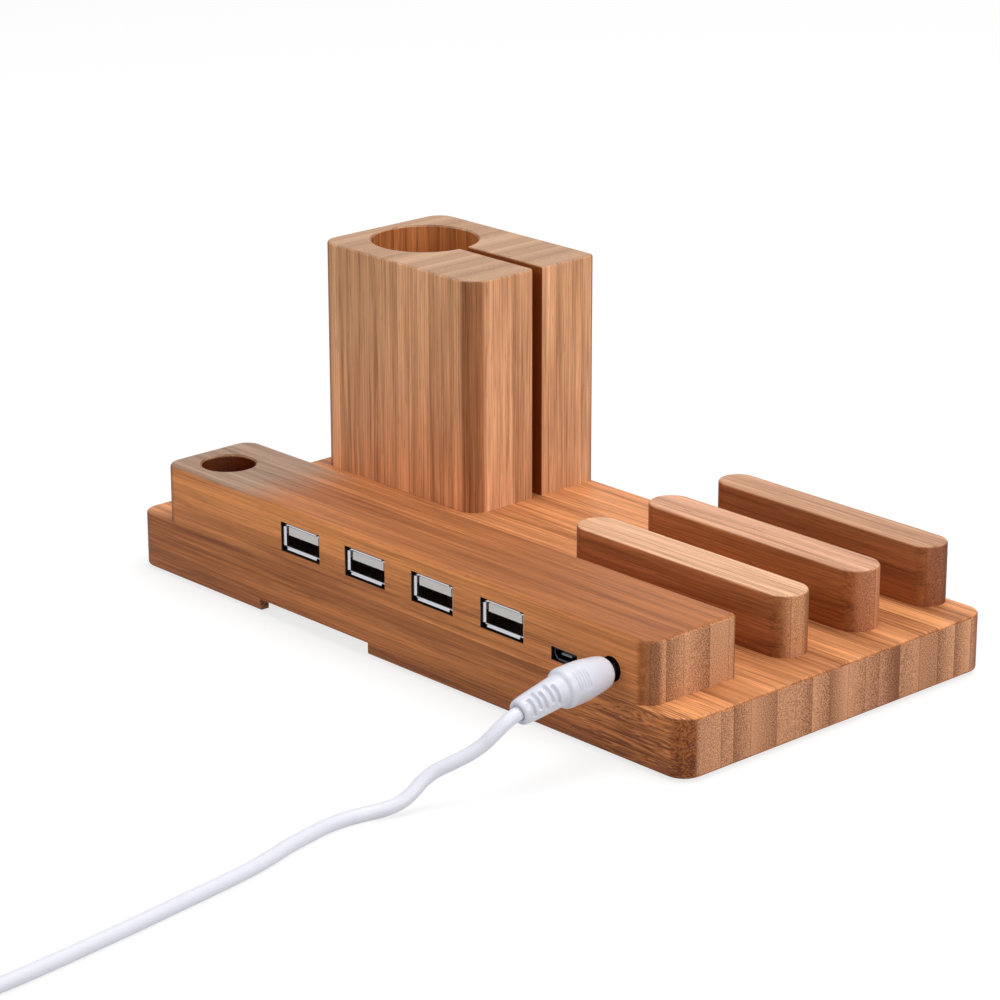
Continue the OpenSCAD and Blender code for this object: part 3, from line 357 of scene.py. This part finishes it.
def make_bamboo_group():
    """Laminated bamboo. Grain runs along the vector's first part. Its second part crosses the
    strips, which are cells of uneven width with a thin glue line between them; each strip has its
    own shade, and on the ends a slope of tone from one edge to the other. Fibres, streaks and
    clouds are noises drawn out along the grain, which sways more where Wild is above 0. Flecks
    are short dark fibres, specks the ends' pores. The shade runs from deep to pale multiples of
    the tone."""
    group, wiring, given, out = new_group(
        "laminated_bamboo",
        [("Grain", "Vector", None), ("End", "Float", 0.0), ("Strip Width", "Float", 0.006),
         ("Seed", "Float", 0.0), ("Contrast", "Float", 1.0), ("End Contrast", "Float", 1.0),
         ("Strip Contrast", "Float", 0.2), ("Wild", "Float", 0.0),
         ("Tone", "Color", (1, 1, 1, 1))],
        [("Color", "Color"), ("Roughness", "Float"), ("Height", "Float")])
    node, plus, minus, times = wiring.node, wiring.plus, wiring.minus, wiring.times

    def field(noise, place, shift):
        along, across_grain, detail, roughness = noise
        scales = (along, across_grain, across_grain)
        return wiring.noise(wiring.stretch(place, scales, shift), detail, roughness)

    def shade_of(amounts):
        total = None
        for shade, amount in amounts:
            share = times(minus(shade, 0.5), amount)
            total = share if total is None else plus(total, share)
        return total

    def long_to_end(on_long, on_end):
        return wiring.spread(given["End"], 0.0, 1.0, on_long, on_end)

    parts = node("SeparateXYZ", {0: given["Grain"]}).outputs
    across = plus(wiring.sum_up("DIVIDE", parts[1], given["Strip Width"]), given["Seed"])
    strips = {"W": across, "Scale": 1.0, "Randomness": STRIP_UNEVEN}
    cell = node("TexVoronoi", strips, voronoi_dimensions="1D")
    edge = node("TexVoronoi", strips, voronoi_dimensions="1D", feature="DISTANCE_TO_EDGE")
    own = node("SeparateColor", {0: cell.outputs["Color"]}).outputs
    glue = wiring.spread(edge.outputs["Distance"], 0.0, GLUE_SHARE, 1.0, 0.0, smooth=True)
    slope = times(minus(across, cell.outputs["W"]),
                  wiring.spread(own[1], 0.0, 1.0, -STRIP_SLOPE, STRIP_SLOPE))
    shift = times(own[2], STRIP_SHIFT)
    sway = minus(field(SWAY_NOISE, parts, 0.0), 0.5)
    sway = times(sway, wiring.spread(given["Wild"], 0.0, 1.0, CALM_SWAY, WILD_SWAY))
    swaying = [parts[0]] + [plus(parts[k], sway) for k in (1, 2)]
    fibre = field(FIBRE_NOISE, swaying, shift)
    streak = field(STREAK_NOISE, swaying, shift)
    cloud = field(CLOUD_NOISE, swaying, shift)
    fleck = field(FLECK_NOISE, swaying, shift)
    speck = field(SPECK_NOISE, parts, shift)

    long_shade = shade_of([(own[0], given["Strip Contrast"]), (fibre, FIBRE_LONG),
                           (streak, STREAK_LONG), (cloud, CLOUD_LONG)])
    long_shade = plus(long_shade, times(given["Wild"], times(minus(fibre, 0.5), FIBRE_WILD)))
    end_shade = plus(shade_of([(own[0], OWN_END), (speck, SPECK_END), (fibre, FIBRE_END)]), slope)
    end_shade = times(end_shade, given["End Contrast"])
    shade = node("Mix", {0: given["End"], 2: long_shade, 3: end_shade}).outputs[0]
    shade = plus(times(shade, given["Contrast"]), 0.5, clamp=True)
    color = wiring.tint(given["Tone"], wiring.blend(shade, DEEP, PALE))
    flecks = times(wiring.spread(fleck, FLECK_FROM, FLECK_TO), long_to_end(FLECK_LONG, FLECK_END))
    mark = plus(flecks, times(glue, long_to_end(GLUE_LONG, GLUE_END)))
    wiring.feed(out["Color"], wiring.blend(mark, color, wiring.tint(given["Tone"], MARKED)))
    rough = plus(BAMBOO_ROUGH, times(fibre, FIBRE_ROUGH))
    wiring.feed(out["Roughness"], plus(rough, times(given["End"], END_ROUGH)))
    height = plus(times(fibre, FIBRE_HEIGHT), times(streak, STREAK_HEIGHT))
    height = plus(height, times(speck, given["End"]))
    wiring.feed(out["Height"], minus(height, times(glue, GLUE_HEIGHT)))
    return group


# Noises of moulded and metal parts: detail, roughness and scale of the drift, the mottling's
# detail, and the scratches' detail, roughness and scales
DRIFT_NOISE, MOTTLE_DETAIL = (2.0, 0.5, 45.0), 3.0
SCRATCH_NOISE, SCRATCH_SCALES = (2.0, 0.7), (300.0, 4200.0, 4200.0)
# Shares of mottling and scratches in the wear, and the mottling's share in the drift of tone
MOTTLE_WEAR, SCRATCH_WEAR, MOTTLE_DRIFT = 0.6, 0.4, 0.5


def make_surface_group():
    """Fine surface variation for moulded and metal parts: a broad drift of tone, fine mottling
    and short scratches, each a noise of its own size."""
    group, wiring, given, out = new_group(
        "fine_surface",
        [("Place", "Vector", None), ("Tone", "Color", (1, 1, 1, 1)), ("Drift", "Float", 0.05),
         ("Roughness", "Float", 0.4), ("Mottle", "Float", 0.1), ("Size", "Float", 900.0)],
        [("Color", "Color"), ("Roughness", "Float"), ("Height", "Float")])
    node, plus, minus, times = wiring.node, wiring.plus, wiring.minus, wiring.times
    broad = wiring.noise(given["Place"], *DRIFT_NOISE)
    fine = node("TexNoise", {"Vector": given["Place"], "Scale": given["Size"],
                             "Detail": MOTTLE_DETAIL}).outputs[0]
    parts = node("SeparateXYZ", {0: given["Place"]}).outputs
    rub = wiring.noise(wiring.stretch(parts, SCRATCH_SCALES), *SCRATCH_NOISE)
    lift = times(minus(broad, 0.5), given["Drift"])
    lift = plus(lift, times(minus(fine, 0.5), times(given["Drift"], MOTTLE_DRIFT)))
    toned = node("HueSaturation", {"Value": plus(1.0, lift), "Color": given["Tone"]})
    wiring.feed(out["Color"], toned.outputs[0])
    wear = plus(times(fine, MOTTLE_WEAR), times(rub, SCRATCH_WEAR))
    uneven = times(minus(wear, 0.5), given["Mottle"])
    wiring.feed(out["Roughness"], plus(given["Roughness"], uneven, clamp=True))
    wiring.feed(out["Height"], wear)
    return group


BAMBOO = make_bamboo_group()
SURFACE = make_surface_group()


# Materials

# Soft edges of the painted shade in a box cut, of wild figure and of a painted sheen, in metres,
# # and of the painted shade on a round hole's wall and floor and deep in a port, in millimetres
CUT_EDGE, WILD_EDGE, SHEEN_EDGE = 0.0003, 0.012, 0.018
WALL_EDGE, FLOOR_EDGE, DEPTH_SHADE_EDGE = 0.3, 0.4, 0.3
# Facing upwards, and how much of two sides a surface faces at once on rounded corners, which
# painted shade darkens
TOP_FROM, TOP_TO = 0.35, 0.85
CORNER_FROM, CORNER_TO = 0.05, 0.32
# Painted shade: the tints of rounded corners and of port parts deep inside
CORNER_SHADE_TINT, DEPTH_SHADE_TINT = (0.42, 0.32, 0.24, 1.0), (0.5, 0.42, 0.38, 1.0)
GRAIN_BUMP, GRAIN_DEPTH, MOULD_DEPTH = 0.3, 0.0002, 0.00005
BAMBOO_SPECULAR = 0.22


def new_material(name):
    material = bpy.data.materials.new(name)
    material.use_nodes = True
    material.node_tree.nodes.clear()
    return material, Wiring(material.node_tree)


def principled(name):
    """A material with one principled shader, its wiring and the shader."""
    material, wiring = new_material(name)
    shader = wiring.node("BsdfPrincipled")
    wiring.feed(wiring.node("OutputMaterial").inputs["Surface"], shader.outputs[0])
    return material, wiring, shader


def place_group(wiring, group, feeds):
    placed = wiring.node("Group", node_tree=group)
    for name, value in feeds.items():
        wiring.feed(placed.inputs[name], value)
    return placed.outputs


def surface_of(wiring, shader, color, made, strength, depth):
    """Feeds a shader with a colour and with a group's roughness and height."""
    wiring.feed(shader.inputs["Base Color"], color)
    wiring.feed(shader.inputs["Roughness"], made["Roughness"])
    bump = wiring.node("Bump", {"Strength": strength, "Distance": depth, "Height": made["Height"]})
    wiring.feed(shader.inputs["Normal"], bump.outputs[0])


def srgb(red, green, blue):
    """Linear colour of an 8-bit screen colour."""
    values = [v / 255 for v in (red, green, blue)]
    return tuple(v / 12.92 if v <= 0.04045 else ((v + 0.055) / 1.055) ** 2.4
                 for v in values) + (1.0,)


def in_box(wiring, parts, low, high, soft=CUT_EDGE):
    """1 inside a box given in millimetres and 0 outside it, with a soft edge. A side given as
    None is open."""
    inside = 1.0
    for k in range(3):
        for limit, way in ((low[k], 1.0), (high[k], -1.0)):
            if limit is not None:
                limit /= MM_PER_M
                step = wiring.spread(parts[k], limit - soft / 2, limit + soft / 2,
                                     0.5 - way / 2, 0.5 + way / 2)
                inside = wiring.times(inside, step)
    return inside


def in_round(wiring, parts, centre, radius, low):
    """1 inside an upright cylinder above a level, in millimetres, and 0 outside it."""
    gap = [wiring.minus(parts[k], centre[k] / MM_PER_M) for k in (0, 1)]
    far = wiring.sum_up("SQRT", wiring.plus(wiring.times(gap[0], gap[0]),
                                            wiring.times(gap[1], gap[1])))
    inside = wiring.spread(far, radius / MM_PER_M, (radius + WALL_EDGE) / MM_PER_M, 1.0, 0.0)
    above = wiring.spread(parts[2], (low - FLOOR_EDGE) / MM_PER_M, low / MM_PER_M, 1.0, 0.0)
    return wiring.times(inside, above)


def bamboo(name, seed, top, side, end, upright=False, strip=0.006, contrast=1.0,
           end_contrast=1.0, strip_contrast=0.2, corner_shade_amount=0.3, end_from=(0.5, 0.95), wild=None,
           pale=None, shaded_holes=(), hole_shade=(122, 80, 44), shaded_cuts=(), cut_shade=(14, 10, 8)):
    """Oiled bamboo whose grain runs along X, or along Z in an upright block. Its top, its long
    sides and the sides towards X have a tone each, partly painted light and shade; a stretch of
    the top can be paler as a painted sheen, rounded corners are darker as painted shade, round
    holes and pockets are darker as painted shade and cut openings dark as painted shade. End
    grain shows where the surface faces the grain's way by end_from."""
    material, wiring, shader = principled(name)
    times, minus = wiring.times, wiring.minus
    place = wiring.node("TexCoord").outputs
    parts = wiring.node("SeparateXYZ", {0: place["Object"]}).outputs
    facing = wiring.node("SeparateXYZ", {0: place["Normal"]}).outputs
    order = (2, 0, 1) if upright else (0, 1, 2)
    grain = wiring.node("CombineXYZ", {k: parts[order[k]] for k in range(3)}).outputs[0]
    endward = wiring.spread(wiring.sum_up("ABSOLUTE", facing[order[0]]), *end_from, smooth=True)
    upward = wiring.spread(facing[2], TOP_FROM, TOP_TO, smooth=True)
    rightward = wiring.spread(wiring.sum_up("ABSOLUTE", facing[0]), *end_from, smooth=True)
    top_tone = srgb(*top)
    # Painted sheen: a stretch of the top is paler
    if pale is not None:
        box, sheen_tone = pale
        top_tone = wiring.blend(in_box(wiring, parts, *box, soft=SHEEN_EDGE), top_tone,
                                srgb(*sheen_tone))
    tone = wiring.blend(upward, wiring.blend(rightward, srgb(*side), srgb(*end)), top_tone)
    # Painted shade: round holes and pockets are darker inside, with less strip contrast
    holes = [in_round(wiring, parts, *hole) for hole in shaded_holes]
    for hole in holes:
        strip_contrast = times(strip_contrast, minus(1.0, hole))
    wildness = 0.0 if wild is None else in_box(wiring, parts, *wild, soft=WILD_EDGE)
    made = place_group(wiring, BAMBOO, {
        "Grain": grain, "End": endward, "Strip Width": strip, "Seed": seed,
        "Contrast": contrast, "End Contrast": end_contrast, "Strip Contrast": strip_contrast,
        "Wild": wildness, "Tone": tone})
    # Painted shade: rounded corners, which face two sides at once, are darker, but not in the
    # holes
    corner_shade = wiring.sum_up("ABSOLUTE", times(facing[0], facing[1]))
    corner_shade = wiring.spread(corner_shade, CORNER_FROM, CORNER_TO, 0.0, corner_shade_amount, smooth=True)
    for hole in holes:
        corner_shade = times(corner_shade, minus(1.0, hole))
    color = wiring.blend(corner_shade, made["Color"], wiring.tint(made["Color"], CORNER_SHADE_TINT))
    for hole in holes:
        color = wiring.blend(hole, color, wiring.tint(color, srgb(*hole_shade)))
    # Painted shade: the walls of cut openings are painted dark
    for low, high in shaded_cuts:
        color = wiring.blend(in_box(wiring, parts, low, high), color, srgb(*cut_shade))
    surface_of(wiring, shader, color, made, GRAIN_BUMP, GRAIN_DEPTH)
    shader.inputs["Specular IOR Level"].default_value = BAMBOO_SPECULAR
    return material


def finish_of(name, tone, rough, metallic=0.0, drift=0.06, mottle=0.12, size=900.0, bump=0.15,
              depth_shade_from=None):
    """A moulded or metal finish with fine variation of tone, gloss and surface. Port parts are
    painted darker from a depth on, given in millimetres along Y, as the shade deep in the port."""
    material, wiring, shader = principled(name)
    place = wiring.node("TexCoord").outputs["Object"]
    made = place_group(wiring, SURFACE, {"Place": place, "Tone": srgb(*tone), "Drift": drift,
                                         "Roughness": rough, "Mottle": mottle, "Size": size})
    color = made["Color"]
    # Painted shade: port parts are darker from a depth on
    if depth_shade_from is not None:
        parts = wiring.node("SeparateXYZ", {0: place}).outputs
        depth_shade = wiring.spread(parts[1], depth_shade_from / MM_PER_M, (depth_shade_from + DEPTH_SHADE_EDGE) / MM_PER_M)
        color = wiring.blend(depth_shade, color, wiring.tint(color, DEPTH_SHADE_TINT))
    surface_of(wiring, shader, color, made, bump, MOULD_DEPTH)
    shader.inputs["Metallic"].default_value = metallic
    return material


# Even shading

MERGE_WITHIN, SHARP_FROM_DEG = 1e-6, 30


def make_even_shading():
    """Merges a node's loose triangles, shades it smooth and keeps edges over an angle sharp."""
    group = bpy.data.node_groups.new("even_shading", "GeometryNodeTree")
    group.interface.new_socket("Geometry", in_out="INPUT", socket_type="NodeSocketGeometry")
    group.interface.new_socket("Geometry", in_out="OUTPUT", socket_type="NodeSocketGeometry")
    nodes, link = group.nodes, group.links.new
    start, end = nodes.new("NodeGroupInput"), nodes.new("NodeGroupOutput")
    merge = nodes.new("GeometryNodeMergeByDistance")
    merge.inputs["Distance"].default_value = MERGE_WITHIN
    faces = nodes.new("GeometryNodeSetShadeSmooth")
    edges = nodes.new("GeometryNodeSetShadeSmooth")
    edges.domain = "EDGE"
    edges.inputs["Shade Smooth"].default_value = False
    angle = nodes.new("GeometryNodeInputMeshEdgeAngle")
    over = nodes.new("FunctionNodeCompare")
    over.operation = "GREATER_THAN"
    over.inputs[1].default_value = math.radians(SHARP_FROM_DEG)
    link(start.outputs[0], merge.inputs["Geometry"])
    link(merge.outputs[0], faces.inputs["Geometry"])
    link(faces.outputs[0], edges.inputs["Geometry"])
    link(angle.outputs["Unsigned Angle"], over.inputs[0])
    link(over.outputs[0], edges.inputs["Selection"])
    link(edges.outputs[0], end.inputs[0])
    return group


EVEN = make_even_shading()


def dress(names, material):
    """Gives CAD nodes their material and even shading."""
    for name in names.split():
        piece = NODES[name]
        piece.data.materials.clear()
        piece.data.materials.append(material)
        piece.modifiers.new("even_shading", "NODES").node_group = EVEN


# Bamboo pieces: a seed, and the tones of the top, of the long sides and of the sides towards X.
# # The tones are partly painted light: the housing's top is darker as a painted shadow, the base's
# # and the dividers' long sides are darker as painted shade, and the front divider's top is paler
# # as a painted highlight

dress("base_board",
      # Painted shade: the base's long sides are darker than its top
      bamboo("bamboo_base", 9.6, (213, 141, 92), (182, 110, 62), (189, 133, 100),
             strip=0.0061, contrast=1.15, end_contrast=1.2, corner_shade_amount=0.7, end_from=(0.94, 0.99),
             wild=((66, -60, -5), (110, -45, 30))))
dress("hub_housing",
      # Painted shadow: the housing's top is darker than its sides
      bamboo("bamboo_housing", 11.4, (169, 101, 57), (205, 128, 74), (190, 135, 100),
             contrast=1.05, end_contrast=1.3, corner_shade_amount=0.8, end_from=(0.4, 0.85),
             # Painted sheen: the top's left end is paler
             pale=(((-100, None, None), (-51, None, None)), (152, 120, 100)),
             # Painted shade in the pen hole
             shaded_holes=[((-74.95, -39.0), 7.2, 30.0)],
             # Painted shade in the port cut-outs
             shaded_cuts=[((-42, -50.65, 15), (80, -46, 29))]))
dress("divider_front",
      # Painted highlight on the front divider's top, painted shade on its long sides
      bamboo("bamboo_divider_front", 23.7, (230, 177, 142), (166, 103, 63), (208, 148, 108)))
dress("divider_middle",
      bamboo("bamboo_divider_middle", 31.2, (206, 152, 122), (172, 101, 56), (196, 130, 94)))
dress("divider_rear",
      bamboo("bamboo_divider_rear", 41.9, (198, 147, 116), (162, 95, 56), (156, 97, 67)))
dress("watch_stand",
      bamboo("bamboo_stand", 57.3, (192, 152, 126), (224, 167, 124), (226, 167, 126),
             upright=True, strip=0.0045, end_contrast=0.5, strip_contrast=0.5, corner_shade_amount=0.9,
             # Painted shade in the watch puck's pocket
             shaded_holes=[((-77.15, 29.5), 14.2, 76.0)], hole_shade=(212, 179, 139),
             # Painted shade in the cable slit
             shaded_cuts=[((-77, 28.6, 10), (-35, 32.2, 75.9))], cut_shade=(156, 82, 34)))

# Other pieces: a tone, the roughness and how metallic it is

dress("foot_pads", finish_of("black_rubber", (38, 37, 36), 0.8, bump=0.4))
dress("housing_screws divider_screws stand_screws board_screws",
      finish_of("zinc_steel", (186, 186, 190), 0.32, 1.0, mottle=0.3))
dress("hub_board adapter_board",
      finish_of("green_board", (18, 92, 52), 0.35, drift=0.3, size=260.0))
dress("board_spacers", finish_of("natural_nylon", (226, 224, 214), 0.45))
dress("jack_pin plug_barrel adapter_blades",
      finish_of("nickel_sheet", (205, 205, 210), 0.24, 1.0, mottle=0.25))
# Port parts below are painted darker deep inside, as shade
dress("usb_shell_1 usb_shell_2 usb_shell_3 usb_shell_4",
      finish_of("nickel_port", (200, 200, 206), 0.24, 1.0, mottle=0.25, depth_shade_from=-49.5))
# Painted shade: the data port's shell is a darker nickel, for the shade in its cut
dress("data_port_shell",
      finish_of("shaded_nickel", (74, 74, 80), 0.35, 1.0, mottle=0.25, depth_shade_from=-49.9))
dress("usb_tongue_1 usb_tongue_2 usb_tongue_3 usb_tongue_4",
      finish_of("pale_moulding", (228, 226, 222), 0.4, depth_shade_from=-48.6))
dress("data_port_tongue", finish_of("grey_moulding", (120, 120, 126), 0.4, depth_shade_from=-48.4))
dress("jack_body plug_insulator hub_chip switch_chips",
      finish_of("black_moulding", (14, 14, 15), 0.5))
dress("usb_contacts_1 usb_contacts_2 usb_contacts_3 usb_contacts_4 jack_spring",
      finish_of("gold_plate", (226, 186, 106), 0.25, 1.0))
dress("power_inductor", finish_of("dark_ferrite", (66, 66, 70), 0.6))
dress("capacitors crystal", finish_of("drawn_can", (196, 197, 200), 0.3, 1.0, mottle=0.3))
dress("adapter_transformer", finish_of("yellow_tape", (222, 178, 52), 0.35, drift=0.15))
white = finish_of("white_plastic", (220, 221, 231), 0.3, drift=0.03, mottle=0.08,
                  size=1400.0, bump=0.08)
dress("plug_grip adapter_case adapter_face adapter_relief", white)
moulded_grip.data.materials.append(white)
power_cord.data.materials.append(
    finish_of("white_vinyl", (230, 230, 240), 0.4, drift=0.03, size=1600.0))


# Studio

WHITE = (1.0, 1.0, 1.0, 1.0)
# Brightness of the surround as it lights the part, and as it is seen or mirrored
SURROUND_LIGHT, SURROUND_SEEN = 0.33, 1.0
FLOOR_REACH = 6.0
# The floor as the part gets its light, and, where it is seen or mirrored, a darker one that
# takes the shadows with a glow on top
FLOOR_PLAIN, FLOOR_SHADOWED, FLOOR_GLOW = (0.5, 0.5, 0.5, 1.0), (0.3, 0.3, 0.3, 1.0), 0.75
LAMP_AIM = (0.0, 0.0, 0.03)
# Place, width and power
LAMPS = {"top_lamp": ((0.1, 0.25, 1.6), 1.2, 14.5),
         "right_lamp": ((1.5, 0.0, 0.7), 0.9, 10.0),
         "front_lamp": ((-0.3, -1.5, 0.9), 0.9, 5.5)}
NEARLY_UPRIGHT = 0.9


def seen_or_mirrored(wiring):
    """1 for rays from the camera or off a mirror or through glass, and 0 for the others."""
    path = wiring.node("LightPath").outputs
    mirrored = wiring.sum_up("MAXIMUM", path["Is Glossy Ray"], path["Is Transmission Ray"])
    return wiring.sum_up("MAXIMUM", path["Is Camera Ray"], mirrored)


def make_surround():
    world = bpy.data.worlds.new("studio")
    bpy.context.scene.world = world
    world.use_nodes = True
    world.node_tree.nodes.clear()
    wiring = Wiring(world.node_tree)
    strength = wiring.spread(seen_or_mirrored(wiring), 0.0, 1.0, SURROUND_LIGHT, SURROUND_SEEN)
    background = wiring.node("Background", {"Color": WHITE, "Strength": strength})
    wiring.feed(wiring.node("OutputWorld").inputs[0], background.outputs[0])


def make_floor():
    size = FLOOR_REACH
    floor = bpy.data.meshes.new("floor")
    floor.from_pydata([(-size, -size, 0), (size, -size, 0), (size, size, 0), (-size, size, 0)], [],
                      [(0, 1, 2, 3)])
    floor = bpy.data.objects.new("floor", floor)
    bpy.context.scene.collection.objects.link(floor)
    material, wiring = new_material("pale_floor")
    seen = seen_or_mirrored(wiring)
    plain = wiring.node("BsdfDiffuse", {"Color": FLOOR_PLAIN})
    shadowed = wiring.node("BsdfDiffuse", {"Color": FLOOR_SHADOWED})
    glow = wiring.node("Emission", {"Color": WHITE, "Strength": FLOOR_GLOW})
    both = wiring.node("AddShader", {0: shadowed.outputs[0], 1: glow.outputs[0]})
    mix = wiring.node("MixShader", {0: seen, 1: plain.outputs[0], 2: both.outputs[0]})
    wiring.feed(wiring.node("OutputMaterial").inputs["Surface"], mix.outputs[0])
    floor.data.materials.append(material)


def hang_lamps():
    """Soft round lamps above, to the right and in front, aimed at the part."""
    for name, (place, width, power) in LAMPS.items():
        lamp = bpy.data.lights.new(name, "AREA")
        lamp.shape = "DISK"
        lamp.size, lamp.energy = width, power
        holder = bpy.data.objects.new(name, lamp)
        bpy.context.scene.collection.objects.link(holder)
        back = unit(np.array(place) - np.array(LAMP_AIM))
        level = [0.0, 1.0, 0.0] if abs(back[2]) > NEARLY_UPRIGHT else [0.0, 0.0, 1.0]
        side = unit(np.cross(level, back))
        holder.matrix_world = world_matrix(side, np.cross(back, side), back, place)


bpy.context.scene.view_settings.view_transform = "Standard"
make_surround()
make_floor()
hang_lamps()
